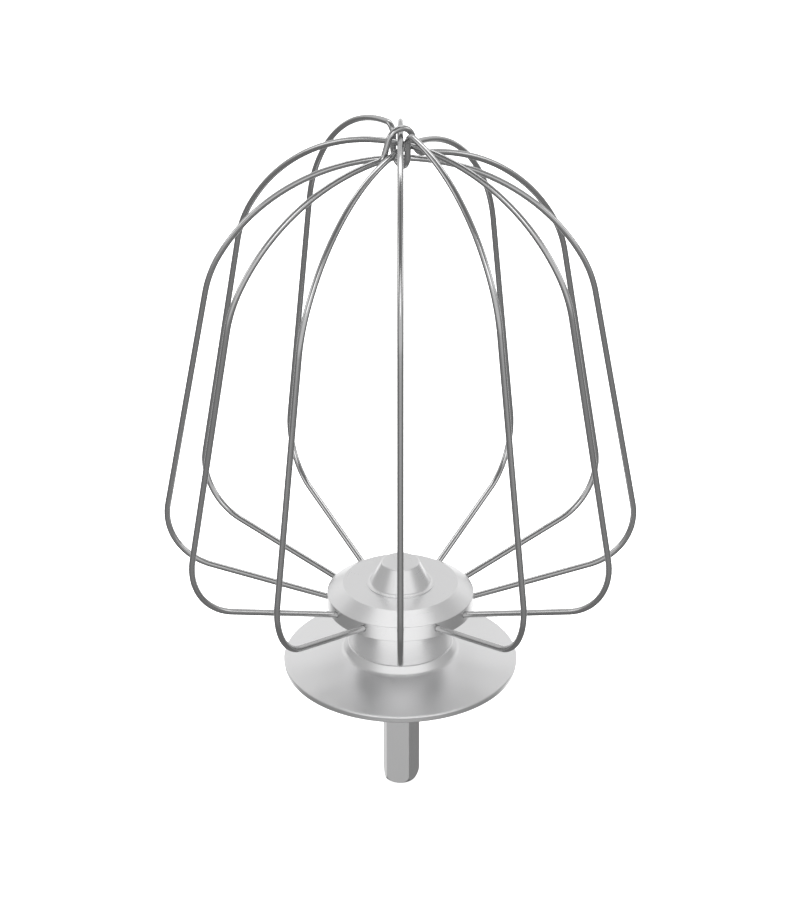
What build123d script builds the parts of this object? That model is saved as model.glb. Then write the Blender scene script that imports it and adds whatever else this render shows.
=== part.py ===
from build123d import *
import os
from math import asin, cos, degrees, radians, sin, tan

# Balloon-whip attachment for a stand mixer: six wire loops clamped in a two-part hub, on a
# five-sided drive shaft with a splash disc.
#
# Frame: millimetres, +Z up the shaft towards the tip of the whip, origin on the shaft's axis in
# the plane of the seating face, which is the underside of the shaft's flange.  The shaft points
# down -Z.  Azimuth 0 is the -Y direction and azimuth 90 is +X.

# ---------------------------------------------------------------------------- driving dimensions
# Wire
wire_diameter = 1.5
wire_fit = 0.05              # radial clearance of a wire in its groove

# Cage
leg_pitch = 30.0             # degrees between neighbouring legs, so six loops make twelve legs
cage_radius = 56.5           # centre line of a leg at its widest
crest_height = 116.2         # lowest loop's crest, above the wire plane
crown_height = 34.0          # crest above the end of the straight side
crown_break = 30.0           # lean from vertical where the shoulder arc meets the crown arc
side_lean = 10.6             # degrees that a straight side leans in from vertical
foot_radius = 14.7           # bend between a side and its spoke
spoke_rise = 17.7            # degrees that a spoke climbs as it leaves the hub
stacked_loops = 4            # plain loops between the tie and the arch
tip_gap = 0.3                # between loops stacked at the tip
strand_gap = 0.15            # between the tie's strands and the loops that pass through it
arch_leg_rise = 0.5          # the arched loop's legs aim this much above the lowest crest
arch_foot_radius = 6.0       # where the arched loop leaves its crown arc
arch_steepness = 72.0        # degrees from horizontal of the arch's strands
arch_foot_bend = 2.2
tie_shoulder_bend = 2.4      # bend that turns the tie loop down beside the stack

# Wire ends inside the hub
hub_bend = 4.0               # bend that lifts a wire from the wire plane into its spoke
spoke_root = 16.9            # radius at which a spoke's line meets the wire plane
hook_radius = 9.0            # radius at which the hooked ends turn down
hook_bend = 1.6
hook_tail = 1.5
hook_floor_gap = 0.3

# Hub
hub_radius = 18.0
hub_face_radius = 14.1       # flat top, inside the bevel
cap_thickness = 4.4          # wire plane to flat top
cap_band = 1.85              # wire plane to the foot of the bevel
body_band = 2.0              # wire plane to the underside of the hub's band
neck_radius = 12.65
neck_length = 9.95           # disc boss to the underside of the band
neck_fillet = 1.5
edge_round = 0.2
register_radius = 6.4        # centre boss of the body that locates the cap
register_height = 1.2
register_fit = 0.05

# Splash disc
disc_radius = 28.95
disc_thickness = 1.8
disc_slope = 9.1             # degrees that the disc climbs from its rim to its boss
boss_radius = 12.9           # flat top, under the neck
boss_height = 6.45           # seating plane to the face under the neck
boss_slope = 64.0            # degrees that the boss's shoulder falls away
boss_flare = 1.2             # hollow fillet between shoulder and disc
flare_share = 0.95           # most of the shoulder that the hollow fillet may take
boss_edge_round = 0.3
rim_round = 0.35

# Drive shaft
shaft_sides = 5
shaft_circumradius = 4.8
shaft_turn = -9.5            # azimuth of the middle of one flat
shaft_length = 34.0          # seating plane to the end of the shaft
nose_round = 2.8
flange_radius = 9.0
flange_thickness = 2.0
flange_round = 0.4
shaft_fit = 0.05             # five-sided shank in its bores
key_length = 7.5             # five-sided key inside the neck
key_end_gap = 0.2
thread_radius = 2.5
thread_fit = 0.06
thread_chamfer = 0.4

# Fasteners under the cover, all on the thread
washer_radius = 5.0
washer_thickness = 0.7
washer_pocket_depth = 0.8
washer_fit = 0.1
spring_outer = 4.4
spring_thickness = 1.1
spring_split = 0.8           # width of the gap in the split washer
spring_split_turn = 20.0     # degrees that the gap leans from upright
nut_sides = 6
nut_flats = 8.0              # across flats
nut_height = 2.7
nut_chamfer = 0.35
thread_stickout = 0.4

# Nut cover, the cone on top of the hub
cover_foot_radius = 7.5
cover_top_radius = 4.6
cover_height = 5.8
cover_wall = 0.75
cover_foot_fillet = 0.8
cover_lip_radius = 8.3       # thin lip that spreads onto the hub's flat top
cover_lip_thickness = 0.2
cover_edge_round = 0.5
skirt_radius = 6.9
skirt_thickness = 0.6
skirt_depth = 0.8
skirt_fit = 0.04

# Seal between neck and disc
seal_radius = 9.0
seal_section = 1.24          # diameter of the ring's section
seal_clearance = 0.01
seal_groove_width = 1.9

# ------------------------------------------------------------------------------ derived heights
wire_radius = wire_diameter / 2
groove_radius = wire_radius + wire_fit
wire_plane = boss_height + neck_length + body_band
hub_top = wire_plane + cap_thickness
tip_pitch = wire_diameter + tip_gap
key_top = boss_height + key_length
washer_floor = hub_top - washer_pocket_depth
spring_floor = washer_floor + washer_thickness
nut_floor = spring_floor + spring_thickness
nut_top = nut_floor + nut_height
thread_top = nut_top + thread_stickout


# ------------------------------------------------------------------------------------- helpers
def turned(*corners):
    """Turn a closed outline, given as radius and height, about the Z axis."""
    return revolve(Plane.XZ * make_face(Polyline(*corners, close=True)), Axis.Z)


def ring(inner, outer, bottom, top):
    """A plain turned ring."""
    return turned((inner, bottom), (outer, bottom), (outer, top), (inner, top))


def circle_edges(solid, radius, height):
    """The circular edges of a turned solid at one radius and height."""
    def fits(edge):
        return abs(edge.radius - radius) < 1e-3 and abs(edge.arc_center.Z - height) < 1e-3
    return solid.edges().filter_by(GeomType.CIRCLE).filter_by(fits)


def five_sided(circumradius, bottom, top):
    """An upright bar of the shaft's section, with the middle of one flat at the shaft's azimuth."""
    section = RegularPolygon(circumradius, shaft_sides, rotation=shaft_turn - 90 + 180 / shaft_sides)
    return Pos(0, 0, bottom) * extrude(section, top - bottom)


# ---------------------------------------------------------------------------------- wire loops
def bend_path(start, steps):
    """Run a bend table from a start point, first heading along +X: (length,) or (radius, turn)."""
    point = Vector(*start)
    heading = Vector(1, 0)
    edges = []
    for step in steps:
        if len(step) == 1:
            edge = Line(point, point + heading * step[0])
        else:
            edge = JernArc(point, heading, step[0], step[1])
        edges.append(edge)
        point = edge @ 1
        heading = edge % 1
    return edges


def crown_radii(rise):
    """Radii of the shoulder and crown arcs that join a straight side to a level crest.

    rise is the crest's height above the wire plane.  Together the arcs cover the radius left at
    the top of the side and the crown's height.
    """
    lean, brk = radians(side_lean), radians(crown_break)
    reach = side_radius(rise - crown_height)
    a, b = cos(lean) - cos(brk), cos(brk)
    c, d = sin(brk) - sin(lean), 1 - sin(brk)
    whole = a * d - b * c
    shoulder = (reach * d - b * crown_height) / whole
    crown = (a * crown_height - c * reach) / whole
    return shoulder, crown


def foot_centre():
    """Centre of the bend between side and spoke, as radius and height above the wire plane."""
    rise = radians(spoke_rise)
    radius = cage_radius - foot_radius
    run = radius + foot_radius * sin(rise) - spoke_root
    return radius, run * tan(rise) + foot_radius * cos(rise)


def side_radius(height):
    """Radius of the straight side's centre line at a height above the wire plane."""
    lean = radians(side_lean)
    radius, centre = foot_centre()
    return radius + foot_radius * cos(lean) - (height - centre - foot_radius * sin(lean)) * tan(lean)


def leg_below_crown(rise):
    """Bend table of a leg from the top of its straight side to its hooked end in the hub."""
    lean, climb = radians(side_lean), radians(spoke_rise)
    radius, centre = foot_centre()
    side = (rise - crown_height - centre - foot_radius * sin(lean)) / cos(lean)
    trim = hub_bend * tan(climb / 2)
    spoke = (radius + foot_radius * sin(climb) - spoke_root) / cos(climb) - trim
    level = spoke_root - trim - hook_radius - hook_bend
    return [
        (side,),
        (foot_radius, -(90 - spoke_rise + side_lean)),
        (spoke,),
        (hub_bend, -spoke_rise),
        (level,),
        (hook_bend, 90),
        (hook_tail,),
    ]


def plain_leg(rise):
    """Half of a loop that simply crosses the axis at its crest."""
    shoulder, crown = crown_radii(rise)
    table = [(crown, -(90 - crown_break)), (shoulder, -(crown_break - side_lean))]
    return rise, table + leg_below_crown(rise)


def arched_leg(rise, top):
    """Half of the loop that climbs over the stack: a small arch on top of its crown."""
    shoulder, crown = crown_radii(rise)
    foot = asin(arch_foot_radius / crown)
    steep = radians(arch_steepness)
    reach = crown * sin(foot) - arch_foot_bend * (sin(steep) - sin(foot))
    drop = top - (rise - crown + crown * cos(foot)) + arch_foot_bend * (cos(steep) - cos(foot))
    arch = (reach * sin(steep) - drop * cos(steep)) / (1 - cos(steep))
    strand = (drop * sin(steep) - reach * (1 - cos(steep))) / (1 - cos(steep))
    table = [
        (arch, -arch_steepness),
        (strand,),
        (arch_foot_bend, arch_steepness - degrees(foot)),
        (crown, -(90 - crown_break - degrees(foot))),
        (shoulder, -(crown_break - side_lean)),
    ]
    return top, table + leg_below_crown(rise)


def tied_leg(rise, bottom):
    """Half of the loop that drops under the stack and holds it together."""
    shoulder, crown = crown_radii(rise)
    half_width = (wire_diameter + strand_gap) / sin(radians(leg_pitch))
    turn = asin((half_width + tie_shoulder_bend) / (crown - tie_shoulder_bend))
    bend_height = rise - crown + (crown - tie_shoulder_bend) * cos(turn)
    table = [
        (half_width, 90),
        (bend_height - bottom - half_width,),
        (tie_shoulder_bend, -(90 + degrees(turn))),
        (crown, -(90 - crown_break - degrees(turn))),
        (shoulder, -(crown_break - side_lean)),
    ]
    return bottom, table + leg_below_crown(rise)


def wire_loop(azimuth, half):
    """Sweep the wire along both halves of a loop and stand it at an azimuth."""
    height, table = half
    right = bend_path((0, wire_plane + height), table)
    left = [mirror(edge, Plane.YZ).edge() for edge in reversed(right)]
    path = Plane.XZ * Wire(left + [edge.edge() for edge in right])
    section = Plane(origin=path @ 0, z_dir=path % 0) * Circle(wire_radius)
    return Rot(0, 0, azimuth - 90) * sweep(section, path=path)


def wire_loops():
    """The six loops, from the arch over the stack at the tip to the tie under it."""
    over_stack = crest_height + stacked_loops * tip_pitch
    halves = {
        "wire_loop_1": (120, arched_leg(crest_height + arch_leg_rise, over_stack)),
        "wire_loop_2": (0, plain_leg(crest_height + 3 * tip_pitch)),
        "wire_loop_3": (60, plain_leg(crest_height + 2 * tip_pitch)),
        "wire_loop_4": (150, plain_leg(crest_height + tip_pitch)),
        "wire_loop_5": (90, plain_leg(crest_height)),
        "wire_loop_6": (30, tied_leg(over_stack, crest_height - tip_pitch)),
    }
    return {name: wire_loop(azimuth, half) for name, (azimuth, half) in halves.items()}


# ----------------------------------------------------------------------------------------- hub
def wire_ways():
    """Twelve ways through the hub's band, each along the bend of its own wire."""
    inner = hook_radius - groove_radius
    trim = hub_bend * tan(radians(spoke_rise) / 2)
    steps = [
        (spoke_root - trim - inner,),
        (hub_bend, spoke_rise),
        (hub_radius - spoke_root + groove_radius,),
    ]
    edges = bend_path((inner, wire_plane), steps)
    path = Plane.XZ * Wire([edge.edge() for edge in edges])
    section = Plane(origin=path @ 0, z_dir=path % 0) * Circle(groove_radius)
    way = sweep(section, path=path)
    count = round(360 / leg_pitch)
    return [Rot(0, 0, index * leg_pitch) * way for index in range(count)]


def hook_channel():
    """Ring-shaped channel in the body that holds the twelve hooked wire ends."""
    inner = hook_radius - groove_radius
    wall = hook_radius + groove_radius
    floor = wire_plane - hook_bend - hook_tail - hook_floor_gap
    corner = wire_plane - hook_bend
    relief = hook_radius + hook_bend
    return turned(
        (inner, floor),
        (wall, floor),
        (wall, corner),
        (relief, corner + relief - wall),
        (relief, wire_plane),
        (inner, wire_plane),
    )


def hub_body():
    """Neck and lower half of the hub, turned from one bar."""
    underside = wire_plane - body_band
    register_top = wire_plane + register_height
    body = turned(
        (0, boss_height),
        (neck_radius, boss_height),
        (neck_radius, underside),
        (hub_radius, underside),
        (hub_radius, wire_plane),
        (register_radius, wire_plane),
        (register_radius, register_top),
        (0, register_top),
    )
    body = fillet(circle_edges(body, neck_radius, underside), neck_fillet)
    body = fillet(circle_edges(body, hub_radius, underside), edge_round)
    body = chamfer(circle_edges(body, register_radius, register_top), edge_round)
    seal_half = seal_groove_width / 2
    seal_top = boss_height + seal_section + 2 * seal_clearance
    body -= ring(seal_radius - seal_half, seal_radius + seal_half, boss_height, seal_top)
    body -= five_sided(shaft_circumradius + shaft_fit, boss_height, key_top + key_end_gap)
    body -= ring(0, thread_radius + thread_fit, boss_height, register_top)
    body -= hook_channel()
    for way in wire_ways():
        body -= way
    return body


def hub_cap():
    """Upper half of the hub, with the bevel, the washer's pocket and the cover's groove."""
    bevel_foot = wire_plane + cap_band
    recess = register_radius + register_fit
    recess_top = wire_plane + register_height + register_fit
    bore = thread_radius + thread_fit
    pocket = washer_radius + washer_fit
    cap = turned(
        (recess, wire_plane),
        (hub_radius, wire_plane),
        (hub_radius, bevel_foot),
        (hub_face_radius, hub_top),
        (pocket, hub_top),
        (pocket, washer_floor),
        (bore, washer_floor),
        (bore, recess_top),
        (recess, recess_top),
    )
    cap = fillet(circle_edges(cap, hub_radius, bevel_foot), edge_round)
    cap = fillet(circle_edges(cap, hub_face_radius, hub_top), edge_round)
    groove_inner = skirt_radius - skirt_thickness - skirt_fit
    cap -= ring(groove_inner, skirt_radius + skirt_fit, hub_top - skirt_depth - skirt_fit, hub_top)
    for way in wire_ways():
        cap -= way
    return cap


# --------------------------------------------------------------------------- disc and its seal
def splash_disc():
    """Shallow cone with a sloping boss under the neck and a flat seat for the flange."""
    fall = tan(radians(disc_slope))
    steep = tan(radians(boss_slope))
    rim_foot = disc_radius - disc_thickness * fall
    seat_edge = rim_foot - flange_thickness / fall
    centre_height = disc_thickness + disc_radius * fall
    boss_foot = (boss_height + boss_radius * steep - centre_height) / (steep - fall)
    boss_foot_height = centre_height - boss_foot * fall
    disc = turned(
        (0, flange_thickness),
        (seat_edge, flange_thickness),
        (rim_foot, 0),
        (disc_radius, disc_thickness),
        (boss_foot, boss_foot_height),
        (boss_radius, boss_height),
        (0, boss_height),
    )
    shoulder = (boss_foot - boss_radius) / cos(radians(boss_slope)) - boss_edge_round
    flare = min(boss_flare, flare_share * shoulder / tan(radians((boss_slope - disc_slope) / 2)))
    disc = fillet(circle_edges(disc, boss_foot, boss_foot_height), flare)
    disc = fillet(circle_edges(disc, boss_radius, boss_height), boss_edge_round)
    disc = fillet(circle_edges(disc, disc_radius, disc_thickness), rim_round)
    disc = fillet(circle_edges(disc, rim_foot, 0), rim_round)
    disc -= five_sided(shaft_circumradius + shaft_fit, flange_thickness, boss_height)
    return disc


def neck_seal():
    """Rubber ring in the foot of the neck."""
    half = seal_section / 2
    section = Pos(seal_radius, boss_height + half + seal_clearance) * Circle(half)
    return revolve(Plane.XZ * section, Axis.Z)


# --------------------------------------------------------------------------------------- shaft
def drive_shaft():
    """Five-sided shank with a rounded nose, a round flange, a key for the hub and a thread."""
    envelope = turned(
        (0, -shaft_length),
        (shaft_circumradius, -shaft_length),
        (shaft_circumradius, 0),
        (0, 0),
    )
    envelope = fillet(circle_edges(envelope, shaft_circumradius, -shaft_length), nose_round)
    shank = envelope & five_sided(shaft_circumradius, -shaft_length, 0)
    flange = turned((0, 0), (flange_radius, 0), (flange_radius, flange_thickness), (0, flange_thickness))
    flange = fillet(circle_edges(flange, flange_radius, 0), flange_round)
    key = five_sided(shaft_circumradius, flange_thickness, key_top)
    thread = turned(
        (0, key_top),
        (thread_radius, key_top),
        (thread_radius, thread_top - thread_chamfer),
        (thread_radius - thread_chamfer, thread_top),
        (0, thread_top),
    )
    return shank + flange + key + thread


# -------------------------------------------------------------------- fasteners and their cover
def flat_washer():
    """Plain washer in the cap's pocket."""
    return ring(thread_radius + washer_fit, washer_radius, washer_floor, spring_floor)


def spring_washer():
    """Split washer under the nut."""
    washer = ring(thread_radius + washer_fit, spring_outer, spring_floor, nut_floor)
    cutter = Box(spring_outer, spring_split, spring_outer)
    middle = (spring_floor + nut_floor) / 2
    return washer - Pos(spring_outer / 2, 0, middle) * Rot(spring_split_turn, 0, 0) * cutter


def lock_nut():
    """Thin hexagon nut that clamps the whole stack against the flange."""
    corner = nut_flats / 2 / cos(radians(180 / nut_sides))
    blank = Pos(0, 0, nut_floor) * extrude(RegularPolygon(corner, nut_sides), nut_height)
    envelope = turned((0, nut_floor), (corner, nut_floor), (corner, nut_top), (0, nut_top))
    envelope = chamfer(circle_edges(envelope, corner, nut_top), nut_chamfer)
    envelope = chamfer(circle_edges(envelope, corner, nut_floor), nut_chamfer)
    return (blank & envelope) - ring(0, thread_radius + thread_fit, nut_floor, nut_top)


def nut_cover():
    """Hollow cone pressed into the cap's groove over the nut."""
    inner = skirt_radius - skirt_thickness
    lip_top = hub_top + cover_lip_thickness
    cone_top = hub_top + cover_height
    taper = (cover_foot_radius - cover_top_radius) / cover_height
    bend = (cover_foot_radius - cover_wall - inner) / taper
    cover = turned(
        (inner, hub_top - skirt_depth),
        (skirt_radius, hub_top - skirt_depth),
        (skirt_radius, hub_top),
        (cover_lip_radius, hub_top),
        (cover_lip_radius, lip_top),
        (cover_foot_radius, lip_top),
        (cover_top_radius, cone_top),
        (0, cone_top),
        (0, cone_top - cover_wall),
        (cover_top_radius - cover_wall + cover_wall * taper, cone_top - cover_wall),
        (inner, hub_top + bend),
    )
    cover = fillet(circle_edges(cover, cover_foot_radius, lip_top), cover_foot_fillet)
    return fillet(circle_edges(cover, cover_top_radius, cone_top), cover_edge_round)


# ---------------------------------------------------------------------------------------- build
def main():
    """Write one STEP file for each piece."""
    os.makedirs("parts", exist_ok=True)
    pieces = wire_loops()
    for make in (hub_body, hub_cap, splash_disc, neck_seal, drive_shaft,
                 flat_washer, spring_washer, lock_nut, nut_cover):
        pieces[make.__name__] = make()
    for name, piece in pieces.items():
        export_step(piece, f"parts/{name}.step")


if __name__ == "__main__":
    main()
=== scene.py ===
# %% [markdown]
# # A balloon whip for a stand mixer
#
# The part is a wire whip: six loops of bright drawn wire, clamped by their ends in a two-part hub.
# A five-sided shaft under the hub plugs into the mixer, and a shallow disc between them keeps
# splashes out of the socket.  The exact solids come from the CAD model.  This file gives them
# their looks: smooth wires along the same bends, turned metal that catches the light, a floor,
# lamps and a camera.
#
# All lengths are metres, +Z runs up the shaft to the tip of the whip, and the origin is on the
# shaft's axis, in the plane under its flange.  Azimuth 0 is the -Y side and azimuth 90 is +X.

# %% Load the frame
from math import asin, cos, degrees, pi, radians, sin, tan

import bmesh
import bpy
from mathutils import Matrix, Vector


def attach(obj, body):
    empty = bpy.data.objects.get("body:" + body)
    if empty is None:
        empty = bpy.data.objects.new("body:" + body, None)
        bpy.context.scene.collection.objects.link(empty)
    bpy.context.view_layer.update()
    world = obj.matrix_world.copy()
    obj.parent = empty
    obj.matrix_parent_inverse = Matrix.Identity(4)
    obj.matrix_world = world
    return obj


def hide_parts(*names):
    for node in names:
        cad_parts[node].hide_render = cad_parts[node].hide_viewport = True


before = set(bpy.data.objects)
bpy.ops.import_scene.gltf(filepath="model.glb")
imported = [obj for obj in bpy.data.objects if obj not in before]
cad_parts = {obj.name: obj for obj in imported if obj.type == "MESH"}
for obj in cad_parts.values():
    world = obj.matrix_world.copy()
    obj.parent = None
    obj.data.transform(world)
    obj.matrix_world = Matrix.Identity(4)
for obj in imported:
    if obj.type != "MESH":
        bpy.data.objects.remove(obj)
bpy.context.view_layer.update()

MM = 0.001
scene = bpy.context.scene
print("pieces:", ", ".join(sorted(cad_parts)))

# %% [markdown]
# ## Two helpers for node trees
#
# Materials, the sky and the wires are all node trees.  Making nodes by hand takes many lines, so
# one method makes any node: its settings go in first, because they can change which sockets the
# node has, and then the values or links of its sockets.  Sums are written as Python sums: a
# Value wraps a socket, and adding or multiplying Values adds the Math nodes.


# %% Values that can be added up
class Value:
    """A number that varies over a surface; sums on it add Math nodes to its tree."""

    def __init__(self, graph, socket):
        self.graph, self.socket = graph, socket

    def math(self, operation, first, second=0.0):
        return self.graph.node("ShaderNodeMath", {"operation": operation}, {0: first, 1: second})

    def __add__(self, other):
        return self.math("ADD", self, other)

    def __sub__(self, other):
        return self.math("SUBTRACT", self, other)

    def __rsub__(self, other):
        return self.math("SUBTRACT", other, self)

    def __mul__(self, other):
        return self.math("MULTIPLY", self, other)

    def __truediv__(self, other):
        return self.math("DIVIDE", self, other)

    def __rtruediv__(self, other):
        return self.math("DIVIDE", other, self)

    __radd__, __rmul__ = __add__, __mul__

    def between(self, start, end):
        """0 before start, 1 after end, with a smooth rise between them."""
        limits = {"Value": self, "From Min": start, "From Max": end}
        return self.graph.node("ShaderNodeMapRange", {"interpolation_type": "SMOOTHSTEP"}, limits)


# %% Any other node
class Graph:
    """A node tree, with one method that adds a node and gives back one of its outputs."""

    def __init__(self, tree):
        self.tree = tree

    def node(self, kind, settings=None, sockets=None, out=0):
        made = self.tree.nodes.new(kind)
        for name, value in (settings or {}).items():
            setattr(made, name, value)
        for name, value in (sockets or {}).items():
            if isinstance(value, Value):
                self.tree.links.new(value.socket, made.inputs[name])
            else:
                made.inputs[name].default_value = value
        return Value(self, made.outputs[out]) if made.outputs else None

    def axes(self, vector):
        """The x, y and z of a vector."""
        split = self.node("ShaderNodeSeparateXYZ", None, {0: vector})
        return [Value(self, output) for output in split.socket.node.outputs]


# %% [markdown]
# ## The camera
#
# The whip is seen from a little above, tip up, with one wire leg straight ahead.  A long lens
# from well back keeps the cage's sides nearly parallel.  The point that the camera looks at is on
# the axis, and its height sets how high the whip stands in the frame.

# %% Place the camera
camera_elevation = radians(27.291)
camera_distance = 0.780
camera_target = Vector((0, 0, 0.06023))
camera_aim = Vector((-0.0001, 0, 0.05915))

lens = bpy.data.cameras.new("camera")
lens.lens = 130.1
lens.sensor_width = 36
lens.clip_start = 0.01
camera = bpy.data.objects.new("camera", lens)
back = Vector((0, -cos(camera_elevation), sin(camera_elevation)))
camera.location = camera_target + back * camera_distance
camera.rotation_euler = (camera_aim - camera.location).to_track_quat("-Z", "Y").to_euler()
scene.collection.objects.link(camera)
scene.camera = camera
print("camera at", [round(v, 4) for v in camera.location])

# %% [markdown]
# ## The studio
#
# Bare metal has almost no colour of its own: it shows what stands around it.  So the studio is
# drawn on the sky as soft panels, each a range of heights and a range of directions: a bright
# wall behind the whip, a white board in front, quieter sides and a dark ceiling.  The floor and
# what the camera sees beyond it are plain white.

# %% Draw the panels on the sky
world = bpy.data.worlds.new("studio")
scene.world = world
world.use_nodes = True
world.node_tree.nodes.clear()
sky = Graph(world.node_tree)

direction = sky.node("ShaderNodeTexCoord", out="Generated")
east, north, up = sky.axes(direction)
height = sky.node("ShaderNodeMath", {"operation": "ARCSINE"}, {0: up}) * (180 / pi)
turn = sky.node("ShaderNodeMath", {"operation": "ARCTAN2"}, {0: east, 1: 0 - north}) * (180 / pi)

# Each panel: level; lowest and highest height; how soft those edges are; from which turn to which
# turn, in degrees from the front, right positive; how soft those edges are.
side_level = 0.25
panels = [
    (0.46, -4, 62, 12, -181, 181, 1),
    (0.86, 2, 44, 8, 128, 181, 30),
    (0.86, 2, 46, 8, -181, -122, 20),
    (0.50, 44, 62, 8, -181, 181, 1),
    (1.20, -46, -4, 10, 134, 181, 24),
    (1.20, -46, -4, 10, -181, -140, 24),
    (0.36, -44, -4, 12, -50, 60, 44),
    (0.95, -6, 41, 10, -50, 60, 44),
    (0.25, 42, 66, 10, -70, 70, 30),
]
light = side_level
for level, low, high, soft, left, right, edge in panels:
    mask = height.between(low - soft / 2, low + soft / 2)
    mask = mask * (1 - height.between(high - soft / 2, high + soft / 2))
    mask = mask * turn.between(left - edge / 2, left + edge / 2)
    mask = mask * (1 - turn.between(right - edge / 2, right + edge / 2))
    light = light + mask * (level - light)

paper = 1.0
seen = sky.node("ShaderNodeLightPath", out="Is Camera Ray")
strength = light + seen * (paper - light)
glow = sky.node("ShaderNodeBackground", None, {"Color": (1, 1, 1, 1), "Strength": strength})
sky.node("ShaderNodeOutputWorld", None, {"Surface": glow})
print("studio panels:", len(panels))

# %% [markdown]
# ## The floor
#
# A plain white sheet just under the end of the shaft.  It doesn't show in the metal and blocks no
# light, so a lamp may shine through it from below.

# %% Lay the floor
floor_level = -0.0345
floor_half = 3.0
sheet = bpy.data.meshes.new("floor")
corners = [(-1, -1), (1, -1), (1, 1), (-1, 1)]
places = [(x * floor_half, y * floor_half, floor_level) for x, y in corners]
sheet.from_pydata(places, [], [(0, 1, 2, 3)])
floor = bpy.data.objects.new("floor", sheet)
scene.collection.objects.link(floor)
floor.visible_glossy = floor.visible_shadow = False
print("floor", 2 * floor_half, "m square, at", floor_level)

# %% [markdown]
# ## The lamps
#
# A wire shows every lamp as a thin streak along its length, and a turned face blurs the same lamp
# into a broad glow, so one set of lamps can't suit both.  A studio would put up flags.  Here each
# lamp gets its own pieces further down: one from above and one from below for the turned pieces,
# and four small ones that draw the streaks on the wires.  The wide lamp overhead is for the floor.

# %% Hang a lamp that faces the whip
def hang_lamp(name, turned, raised, away, wide, tall, level):
    """A soft rectangle of one brightness; angles are from the front and from level."""
    lamp = bpy.data.lights.new(name, "AREA")
    lamp.shape = "RECTANGLE"
    lamp.size, lamp.size_y = wide, tall
    lamp.energy = level * pi * wide * tall
    hung = bpy.data.objects.new(name, lamp)
    turned, raised = radians(turned), radians(raised)
    out = Vector((sin(turned) * cos(raised), -cos(turned) * cos(raised), sin(raised)))
    hung.location = whip_middle + out * away
    hung.rotation_euler = (-out).to_track_quat("-Z", "Y").to_euler()
    hung.visible_camera = False
    scene.collection.objects.link(hung)
    return hung


# Each lamp: turn and height in degrees, distance, width and length in metres, brightness.
whip_middle = Vector((0, 0, 0.06))
overhead = hang_lamp("overhead", 0, 90, 2.0, 2.1, 2.1, 4.3)
overhead.visible_glossy = False
top_lamp = hang_lamp("top_lamp", 0, 90, 1.2, 1.15, 1.15, 0.85)
low_lamp = hang_lamp("low_lamp", 0, -25, 1.2, 2.3, 0.85, 0.66)
wire_lamps = [
    hang_lamp("wire_lamp_front", 0, 41, 1.2, 0.34, 0.56, 2.1),
    hang_lamp("wire_lamp_back", 180, 59, 1.2, 1.10, 0.34, 2.2),
    hang_lamp("wire_lamp_left", -90, 24, 1.2, 0.60, 0.40, 1.3),
    hang_lamp("wire_lamp_right", 90, 24, 1.2, 0.60, 0.40, 1.3),
]

scene.view_settings.view_transform = "Standard"
print("lamps:", 3 + len(wire_lamps))


# %% Floor material
def material(name):
    """A new material with an empty tree; gives back the material and its graph."""
    made = bpy.data.materials.new(name)
    made.use_nodes = True
    made.node_tree.nodes.clear()
    return made, Graph(made.node_tree)


def finish(graph, **sockets):
    """The shader that ends a material; underscores in socket names stand for spaces."""
    named = {name.replace("_", " "): value for name, value in sockets.items()}
    shader = graph.node("ShaderNodeBsdfPrincipled", None, named)
    graph.node("ShaderNodeOutputMaterial", None, {"Surface": shader})


paper_sheet, graph = material("paper_sheet")
spot = graph.node("ShaderNodeTexCoord", out="Object")
mottle = graph.node("ShaderNodeTexNoise", None, {"Vector": spot, "Scale": 40.0, "Detail": 2.0})
paper_white = 0.92
paper_glow = 0.9
finish(
    graph,
    Base_Color=(paper_white, paper_white, paper_white, 1),
    Roughness=0.85 + mottle * 0.1,
    Emission_Color=(1, 1, 1, 1),
    Emission_Strength=paper_glow,
)
floor.data.materials.append(paper_sheet)


# %% [markdown]
# ## Metals
#
# Turned metal shows fine rings, left by the tool as the work spun, and drawn metal shows fine
# lines along its length.  Both are narrow noise: stretched round the axis for turned faces, and
# along the bar for drawn ones.  The noise moves the roughness a little and lifts a faint bump,
# so highlights break up softly instead of lying flat.

# %% Noise, greys and relief
def noise(graph, place, scale, detail):
    """Soft random values between 0 and 1; a greater scale makes them finer."""
    sockets = {"Vector": place, "Scale": scale, "Detail": detail}
    return graph.node("ShaderNodeTexNoise", None, sockets)


def mottled(shade, bloom, broad, fine, fine_share):
    """A shade that wanders by the bloom's share either way, broadly and finely."""
    mix = broad * (1 - fine_share) + fine * fine_share
    return shade * (1 - bloom) + mix * (2 * shade * bloom)


def grey(graph, tone, coolness=1.0):
    """A grey of this tone; a coolness over 1 adds a little blue."""
    mixed = {"Red": tone, "Green": tone, "Blue": tone * coolness}
    return graph.node("ShaderNodeCombineColor", None, mixed)


def relief(graph, height, depth, strength=1.0):
    """Leans the light as if the surface rose by this depth where the height is 1."""
    lift = {"Height": height, "Distance": depth, "Strength": strength}
    return graph.node("ShaderNodeBump", None, lift)


# %% Turned metal
steel_coolness = 1.004
mark_gloss, cloud_gloss = 0.06, 0.04


def marked_metal(graph, tone, roughness, marks, cloud, normal):
    """Bare metal, a little glossier or duller along its marks and clouds."""
    centre = roughness - (mark_gloss + cloud_gloss) / 2
    finish(
        graph,
        Base_Color=grey(graph, tone, steel_coolness),
        Metallic=1.0,
        Roughness=centre + marks * mark_gloss + cloud * cloud_gloss,
        Normal=normal,
    )


turned_cloud_scale, speck_scale = 160.0, 2600.0
ring_share, speck_share = 0.4, 0.35


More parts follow.
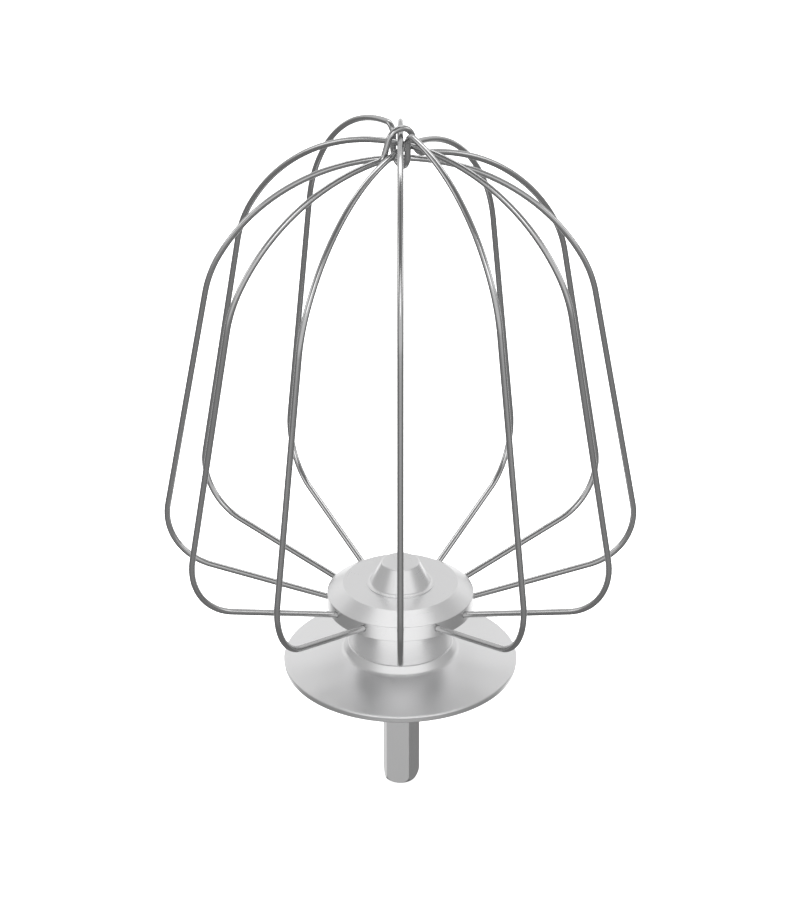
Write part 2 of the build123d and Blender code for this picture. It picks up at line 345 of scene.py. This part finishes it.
def turned_metal(name, shade, roughness, ring_pitch, ring_depth, bloom):
    """Satin metal turned about the Z axis: fine rings, soft blooms in colour and roughness."""
    made, graph = material(name)
    place = graph.node("ShaderNodeTexCoord", out="Object")
    x, y, z = graph.axes(place)
    radius = graph.node("ShaderNodeMath", {"operation": "SQRT"}, {0: x * x + y * y})
    ring_place = graph.node("ShaderNodeCombineXYZ", None, {
        "X": radius / ring_pitch, "Y": z / ring_pitch,
    })
    rings = graph.node("ShaderNodeTexNoise", {"noise_dimensions": "2D"}, {
        "Vector": ring_place, "Scale": 1.0, "Detail": 3.0, "Roughness": 0.6,
    })
    cloud = noise(graph, place, turned_cloud_scale, 3.0)
    speck = noise(graph, place, speck_scale, 2.0)
    tone = mottled(shade, bloom, cloud, rings, ring_share)
    surface = relief(graph, rings + speck * speck_share, ring_depth)
    marked_metal(graph, tone, roughness, rings, cloud, surface)
    return made


# Shade, roughness, spacing and depth of the rings, bloom.
hub_metal = turned_metal("hub_metal", 0.88, 0.29, 0.14 * MM, 0.00015 * MM, 0.02)
disc_metal = turned_metal("disc_metal", 0.87, 0.30, 0.20 * MM, 0.0003 * MM, 0.02)
fastener_steel = turned_metal("fastener_steel", 0.60, 0.34, 0.12 * MM, 0.0012 * MM, 0.06)


# %% Drawn metal
drawn_cloud_scale, drawn_bloom, line_share = 120.0, 0.06, 0.5


def drawn_metal(name, shade, roughness, line_width, line_length, line_depth, straight=None):
    """Drawn or ground bar: fine lines along Z, or along a wire before it was bent."""
    made, graph = material(name)
    if straight:
        place = graph.node("ShaderNodeAttribute", {"attribute_name": straight}, out="Vector")
    else:
        place = graph.node("ShaderNodeTexCoord", out="Object")
    x, y, z = graph.axes(place)
    stretched = graph.node("ShaderNodeCombineXYZ", None, {
        "X": x / line_width, "Y": y / line_width, "Z": z / line_length,
    })
    lines = noise(graph, stretched, 1.0, 3.0)
    cloud = noise(graph, place, drawn_cloud_scale, 2.0)
    tone = mottled(shade, drawn_bloom, cloud, lines, line_share)
    marked_metal(graph, tone, roughness, lines, cloud, relief(graph, lines, line_depth))
    return made


# Shade, roughness, width, length and depth of the lines, attribute that they follow.
wire_steel = drawn_metal("wire_steel", 0.50, 0.17, 0.12 * MM, 4 * MM, 0.0015 * MM, "straight")
drawn_rod = drawn_metal("drawn_rod", 0.52, 0.22, 0.12 * MM, 4 * MM, 0.0015 * MM)
shaft_steel = drawn_metal("shaft_steel", 0.475, 0.32, 0.10 * MM, 5 * MM, 0.0015 * MM)


# %% [markdown]
# ## Rubber
#
# The seal between the neck and the disc is a ring of black rubber.  Rubber is never quite black:
# it has a fine grain from its mould and a dusty bloom on its skin.  Two noises of very different
# size give both, the fine one as relief and the broad one in tone and gloss.

# %% Rubber
grain_scale, dust_scale = 5000.0, 300.0
grain_depth = 0.01 * MM
clean_black, dust_grey = 0.03, 0.02
clean_roughness, dust_roughness = 0.7, 0.15


def rubber(name):
    """Matt black rubber with a dusty bloom and a fine grain."""
    made, graph = material(name)
    place = graph.node("ShaderNodeTexCoord", out="Object")
    grain = noise(graph, place, grain_scale, 2.0)
    dust = noise(graph, place, dust_scale, 3.0)
    finish(
        graph,
        Base_Color=grey(graph, clean_black + dust * dust_grey),
        Roughness=clean_roughness + dust * dust_roughness,
        Normal=relief(graph, grain, grain_depth, 0.6),
    )
    return made


seal_rubber = rubber("seal_rubber")
print("finishes made:", ", ".join(sorted(m.name for m in bpy.data.materials)))

# %% [markdown]
# ## The wires
#
# A wire bender works from a bend table: so much straight wire, then a bend of this radius through
# this angle.  Each loop is the same on both sides of the axis, so its table starts at the crest
# and runs down one leg to the hook inside the hub.  The four plain loops differ only at the top.
# The first loop has a small arch that carries it over the stack, and the last drops in a narrow U
# under the stack and ties it together.
#
# The tables could be typed in, but then no size could change.  They are worked out instead from
# the sizes that a maker would give: how wide and tall the cage is, how far its sides lean, and
# the radius of each bend.
#
# A Geometry Nodes tree gives the path its round section.  It also keeps, on every point, where
# that point was on the straight wire before bending, and the drawn lines follow that.

# %% Sizes of the cage, in millimetres and degrees
wire_diameter = 1.5
wire_plane = 18.4           # height at which the wires enter the hub

cage_radius = 56.5          # a leg's middle at its widest
crest_height = 116.2        # lowest plain loop, above the wire plane
crown_height = 34.0         # crest above the top of the straight side
crown_break = 30.0          # lean from upright where the shoulder meets the crown
side_lean = 10.6            # lean of the straight side from upright
leg_pitch = 30.0            # between neighbouring legs

foot_radius = 14.7          # bend between side and spoke
spoke_rise = 17.7           # climb of a spoke as it leaves the hub
spoke_root = 16.9           # radius at which a spoke's line meets the wire plane
hub_bend = 4.0              # bend that lifts a wire into its spoke
hook_radius = 9.0           # radius at which the hooked ends turn down
hook_bend = 1.6
hook_tail = 1.5

tip_pitch = wire_diameter + 0.3
stacked_loops = 4
over_stack = crest_height + stacked_loops * tip_pitch
arch_leg_rise = 0.5         # the arched loop's legs aim this much above the lowest crest
arch_foot_radius = 6.0      # where the arched loop leaves its crown
arch_steepness = 72.0       # of the arch's strands, from level
arch_foot_bend = 2.2
strand_gap = 0.15           # between the tie's strands and the loops that they hold
tie_shoulder_bend = 2.4     # bend that turns the tie down beside the stack

# %% Bend tables: (length,) or (radius, turn), from the crest down
lean, climb, brink = radians(side_lean), radians(spoke_rise), radians(crown_break)
foot_middle = cage_radius - foot_radius
spoke_run = foot_middle + foot_radius * sin(climb) - spoke_root
side_foot = spoke_run * tan(climb) + foot_radius * (cos(climb) + sin(lean))
trim = hub_bend * tan(climb / 2)


def crown_radii(crest):
    """Radii of the two arcs, shoulder and crown, that join a straight side to a level crest.

    Together they cover the crown's height and the radius that is left at the top of the side.
    """
    rise = crest - crown_height - side_foot
    reach = foot_middle + foot_radius * cos(lean) - rise * tan(lean)
    shoulder_out, crown_out = cos(lean) - cos(brink), cos(brink)
    shoulder_up, crown_up = sin(brink) - sin(lean), 1 - sin(brink)
    whole = shoulder_out * crown_up - crown_out * shoulder_up
    shoulder = (reach * crown_up - crown_out * crown_height) / whole
    crown = (shoulder_out * crown_height - shoulder_up * reach) / whole
    return shoulder, crown


def leg(crest, start=0.0):
    """A leg from its crown to the end of its hook; the crown may start some degrees down."""
    shoulder, crown = crown_radii(crest)
    return [
        (crown, -(90 - crown_break - start)),
        (shoulder, -(crown_break - side_lean)),
        ((crest - crown_height - side_foot) / cos(lean),),
        (foot_radius, -(90 - spoke_rise + side_lean)),
        (spoke_run / cos(climb) - trim,),
        (hub_bend, -spoke_rise),
        (spoke_root - trim - hook_radius - hook_bend,),
        (hook_bend, 90),
        (hook_tail,),
    ]


def plain_loop(crest):
    """Height of the crest and the table of a loop that simply crosses the axis."""
    return crest, leg(crest)


def arched_loop(crest, top):
    """The loop that climbs over the stack in a small arch on top of its crown."""
    _, crown = crown_radii(crest)
    foot, steep = asin(arch_foot_radius / crown), radians(arch_steepness)
    reach = crown * sin(foot) - arch_foot_bend * (sin(steep) - sin(foot))
    drop = top - crest + crown - crown * cos(foot) + arch_foot_bend * (cos(steep) - cos(foot))
    arch = (reach * sin(steep) - drop * cos(steep)) / (1 - cos(steep))
    strand = (drop * sin(steep) - reach * (1 - cos(steep))) / (1 - cos(steep))
    climb_back = (arch_foot_bend, arch_steepness - degrees(foot))
    return top, [(arch, -arch_steepness), (strand,), climb_back] + leg(crest, degrees(foot))


def tied_loop(crest, bottom):
    """The loop that drops under the stack in a narrow U and holds it together."""
    _, crown = crown_radii(crest)
    half_width = (wire_diameter + strand_gap) / sin(radians(leg_pitch))
    turn = asin((half_width + tie_shoulder_bend) / (crown - tie_shoulder_bend))
    bend_height = crest - crown + (crown - tie_shoulder_bend) * cos(turn)
    strand = bend_height - bottom - half_width
    over = (tie_shoulder_bend, -(90 + degrees(turn)))
    return bottom, [(half_width, 90), (strand,), over] + leg(crest, degrees(turn))


loops = {
    "wire_loop_1": (120, arched_loop(crest_height + arch_leg_rise, over_stack)),
    "wire_loop_2": (0, plain_loop(crest_height + 3 * tip_pitch)),
    "wire_loop_3": (60, plain_loop(crest_height + 2 * tip_pitch)),
    "wire_loop_4": (150, plain_loop(crest_height + tip_pitch)),
    "wire_loop_5": (90, plain_loop(crest_height)),
    "wire_loop_6": (30, tied_loop(over_stack, crest_height - tip_pitch)),
}
for node, (azimuth, (height, table)) in loops.items():
    print(node, "crest", round(height, 2), "bends and runs", len(table))


# %% Follow a bend table
def follow(height, table, arc_step=radians(2.5), run_step=6 * MM):
    """Points of a path that starts level at the crest, as distance from the axis and height."""
    point, heading = Vector((0, height)), 0.0
    points = [point.copy()]
    for step in table:
        if len(step) == 1:
            length = step[0] * MM
            count = max(1, round(length / run_step))
            ahead = Vector((cos(heading), sin(heading)))
            points += [point + ahead * (length * i / count) for i in range(1, count + 1)]
        else:
            radius, turned = step[0] * MM, radians(step[1])
            side = 1 if turned > 0 else -1
            centre = point + Vector((-sin(heading), cos(heading))) * (radius * side)
            count = max(2, round(abs(turned) / arc_step))
            for i in range(1, count + 1):
                angle = heading + turned * i / count
                points.append(centre + Vector((sin(angle), -cos(angle))) * (radius * side))
            heading += turned
        point = points[-1]
    return points


def loop_path(azimuth, height, table):
    """A whole loop through both its legs, stood up at an azimuth."""
    half = follow((wire_plane + height) * MM, table)
    across = [Vector((-p.x, p.y)) for p in reversed(half[1:])] + half
    out = Vector((sin(radians(azimuth)), -cos(radians(azimuth)), 0))
    return [out * p.x + Vector((0, 0, p.y)) for p in across]


# %% The tree that turns a path into wire
def wire_tree():
    tree = bpy.data.node_groups.new("wire along a path", "GeometryNodeTree")
    face = tree.interface
    face.new_socket("Path", in_out="INPUT", socket_type="NodeSocketGeometry")
    face.new_socket("Wire radius", in_out="INPUT", socket_type="NodeSocketFloat")
    face.new_socket("Sides", in_out="INPUT", socket_type="NodeSocketInt")
    face.new_socket("Finish", in_out="INPUT", socket_type="NodeSocketMaterial")
    face.new_socket("Wire", in_out="OUTPUT", socket_type="NodeSocketGeometry")
    graph = Graph(tree)
    given = graph.node("NodeGroupInput").socket.node
    path, radius, sides, metal = [Value(graph, given.outputs[i]) for i in range(4)]

    travelled = graph.node("GeometryNodeSplineParameter", out="Length")
    along = graph.node("GeometryNodeCaptureAttribute").socket.node
    along.capture_items.new("FLOAT", "Travelled")
    tree.links.new(path.socket, along.inputs["Geometry"])
    tree.links.new(travelled.socket, along.inputs["Travelled"])

    section = {"Resolution": sides, "Radius": radius}
    circle = graph.node("GeometryNodeCurvePrimitiveCircle", None, section)
    around = graph.node("GeometryNodeCaptureAttribute").socket.node
    around.capture_items.new("VECTOR", "Section")
    tree.links.new(circle.socket, around.inputs["Geometry"])
    tree.links.new(graph.node("GeometryNodeInputPosition").socket, around.inputs["Section"])

    tube = graph.node("GeometryNodeCurveToMesh", None, {
        "Curve": Value(graph, along.outputs["Geometry"]),
        "Profile Curve": Value(graph, around.outputs["Geometry"]),
        "Fill Caps": True,
    })
    x, y, _ = graph.axes(Value(graph, around.outputs["Section"]))
    before_bending = graph.node("ShaderNodeCombineXYZ", None, {
        "X": x, "Y": y, "Z": Value(graph, along.outputs["Travelled"]),
    })
    on_points = {"data_type": "FLOAT_VECTOR", "domain": "POINT"}
    kept = graph.node("GeometryNodeStoreNamedAttribute", on_points, {
        "Geometry": tube, "Name": "straight", "Value": before_bending,
    })
    smooth = graph.node("GeometryNodeSetShadeSmooth", None, {0: kept, 2: True})
    real = graph.node("GeometryNodeRealizeInstances", None, {0: smooth})
    done = graph.node("GeometryNodeSetMaterial", None, {"Geometry": real, "Material": metal})
    out = tree.nodes.new("NodeGroupOutput")
    tree.links.new(done.socket, out.inputs[0])
    return tree


# %% Keep the result of an object's modifiers as a plain mesh
def plain_piece(source, name):
    evaluated = source.evaluated_get(bpy.context.evaluated_depsgraph_get())
    mesh = bpy.data.meshes.new_from_object(evaluated)
    mesh.name = name
    bpy.data.objects.remove(source)
    piece = bpy.data.objects.new(name, mesh)
    scene.collection.objects.link(piece)
    return piece


# %% Run a tree on an object
def keep_result(source, tree, name, **values):
    modifier = source.modifiers.new("tree", "NODES")
    modifier.node_group = tree
    for item in tree.interface.items_tree:
        key = item.name.replace(" ", "_").lower()
        if item.in_out == "INPUT" and key in values:
            modifier[item.identifier] = values[key]
    return plain_piece(source, name)


# %% Make the six loops
def path_object(name, points):
    curve = bpy.data.curves.new(name, "CURVE")
    curve.dimensions = "3D"
    spline = curve.splines.new("POLY")
    spline.points.add(len(points) - 1)
    for place, point in zip(spline.points, points):
        place.co = (*point, 1)
    source = bpy.data.objects.new(name + "_path", curve)
    scene.collection.objects.link(source)
    return source


bend_wire = wire_tree()
for node, (azimuth, (height, table)) in loops.items():
    points = loop_path(azimuth, height, table)
    wire = keep_result(path_object(node, points), bend_wire, "bright_" + node,
                       wire_radius=wire_diameter / 2 * MM, sides=20, finish=wire_steel)
    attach(wire, "root")
    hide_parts(node)
    length = sum((b - a).length for a, b in zip(points, points[1:]))
    print(f"{node}: {length / MM:.0f} mm of wire, {len(wire.data.polygons)} faces")

# %% [markdown]
# ## The turned pieces and the shaft
#
# The hub, its cap, the nut cover and the disc were turned on a lathe, and the shaft was milled
# from bar.  The CAD mesh has their exact shape, but it is loose flat triangles, and bright metal
# shows every one of them.  Smoothing a copy would blur its flat faces and smear the wire holes.
# A turned surface has a rule that does better: all round the axis it leans the same way, so each
# corner of a triangle takes the triangle's own slope, turned to the corner's own azimuth.  The
# rule holds where all three corners lie on one cone or cylinder.  Everything else stays flat.

# %% Normals by the lathe's rule
def lathe_normals(mesh, slack=0.02 * MM, widest_swing=radians(12), least_lean=0.05):
    """One normal for each corner; gives back how many triangles are turned surfaces.

    A milled flat could pass for a cylinder, because its corners are equally far from the axis.
    They swing far from the azimuth that the flat faces, and that gives it away.
    """
    normals, turned = [], 0
    for face in mesh.polygons:
        corners = [mesh.vertices[i].co for i in face.vertices]
        flat = face.normal
        level = flat.xy
        outward = level.dot(face.center.xy) > 0
        lean = level.length if outward else -level.length
        steps = [lean * corner.xy.length + flat.z * corner.z for corner in corners]
        one_surface = max(steps) - min(steps) <= slack
        faced = 0 if outward else pi
        swing = max(abs(corner.xy.angle(level, 0) - faced) for corner in corners)
        milled = level.length > least_lean and swing > widest_swing
        if milled or not one_surface:
            normals += [flat] * len(corners)
            continue
        turned += 1
        for corner in corners:
            out = corner.xy.normalized() * lean
            normals.append(Vector((out.x, out.y, flat.z)))
    mesh.polygons.foreach_set("use_smooth", [True] * len(mesh.polygons))
    mesh.normals_split_custom_set([tuple(normal) for normal in normals])
    return turned


# %% A welded copy of a piece, with its normals
def lathe_copy(node, name, metal, weld=0.0005 * MM):
    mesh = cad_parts[node].data.copy()
    mesh.name = name
    shape = bmesh.new()
    shape.from_mesh(mesh)
    bmesh.ops.remove_doubles(shape, verts=shape.verts, dist=weld)
    shape.to_mesh(mesh)
    shape.free()
    for layer in list(mesh.uv_layers):
        mesh.uv_layers.remove(layer)
    turned = lathe_normals(mesh)
    mesh.materials.clear()
    mesh.materials.append(metal)
    piece = bpy.data.objects.new(name, mesh)
    scene.collection.objects.link(piece)
    print(name, len(mesh.polygons), "triangles,", turned, "of them turned surfaces")
    return piece


visible = {
    "hub_body": ("satin_hub_body", hub_metal, "hub_metal"),
    "hub_cap": ("satin_hub_cap", hub_metal, "hub_metal"),
    "nut_cover": ("satin_nut_cover", hub_metal, "hub_metal"),
    "splash_disc": ("satin_splash_disc", disc_metal, "disc_metal"),
    "drive_shaft": ("milled_drive_shaft", shaft_steel, "shaft_steel"),
}
for node, (name, metal, slot) in visible.items():
    piece = lathe_copy(node, name, metal)
    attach(piece, "root")
    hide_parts(node)

# %% [markdown]
# ## Finishes of the carried pieces
#
# The washers, the nut and the seal are closed inside, and have their finishes all the same.  The
# CAD pieces behind the smooth turned pieces and the shaft are hidden, and carry the same metal as
# what stands for them; the hidden CAD loops behind the wires carry drawn rod.

# %% Give each carried piece its finish
finishes = {
    "flat_washer": fastener_steel,
    "spring_washer": fastener_steel,
    "lock_nut": fastener_steel,
    "neck_seal": seal_rubber,
}
finishes.update({node: metal for node, (name, metal, slot) in visible.items()})
finishes.update({node: drawn_rod for node in loops})
for node, metal in finishes.items():
    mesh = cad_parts[node].data
    mesh.materials.clear()
    mesh.materials.append(metal)
print("finished pieces:", len(finishes))

# %% [markdown]
# ## Which lamp lights what
#
# Now that every piece is there, the lamps get their lists.  A list is a collection, and a lamp
# that has one lights only what is in it.  The alternative, real flags between the lamps and the
# wires, would need a shape for every wire and would show in the turned faces.

# %% Let each lamp light its own pieces
def light_only(lamps, name, pieces):
    lit = bpy.data.collections.new(name)
    for piece in pieces:
        lit.objects.link(bpy.data.objects[piece])
    for hung in lamps:
        hung.light_linking.receiver_collection = lit
    print(name, "are lit by", ", ".join(hung.name for hung in lamps))


solid_pieces = [name for name, metal, slot in visible.values()]
light_only([top_lamp], "turned_pieces", [name for name in solid_pieces if name.startswith("satin")])
light_only([low_lamp], "solid_pieces", solid_pieces)
light_only(wire_lamps, "wires", ["bright_" + node for node in loops])
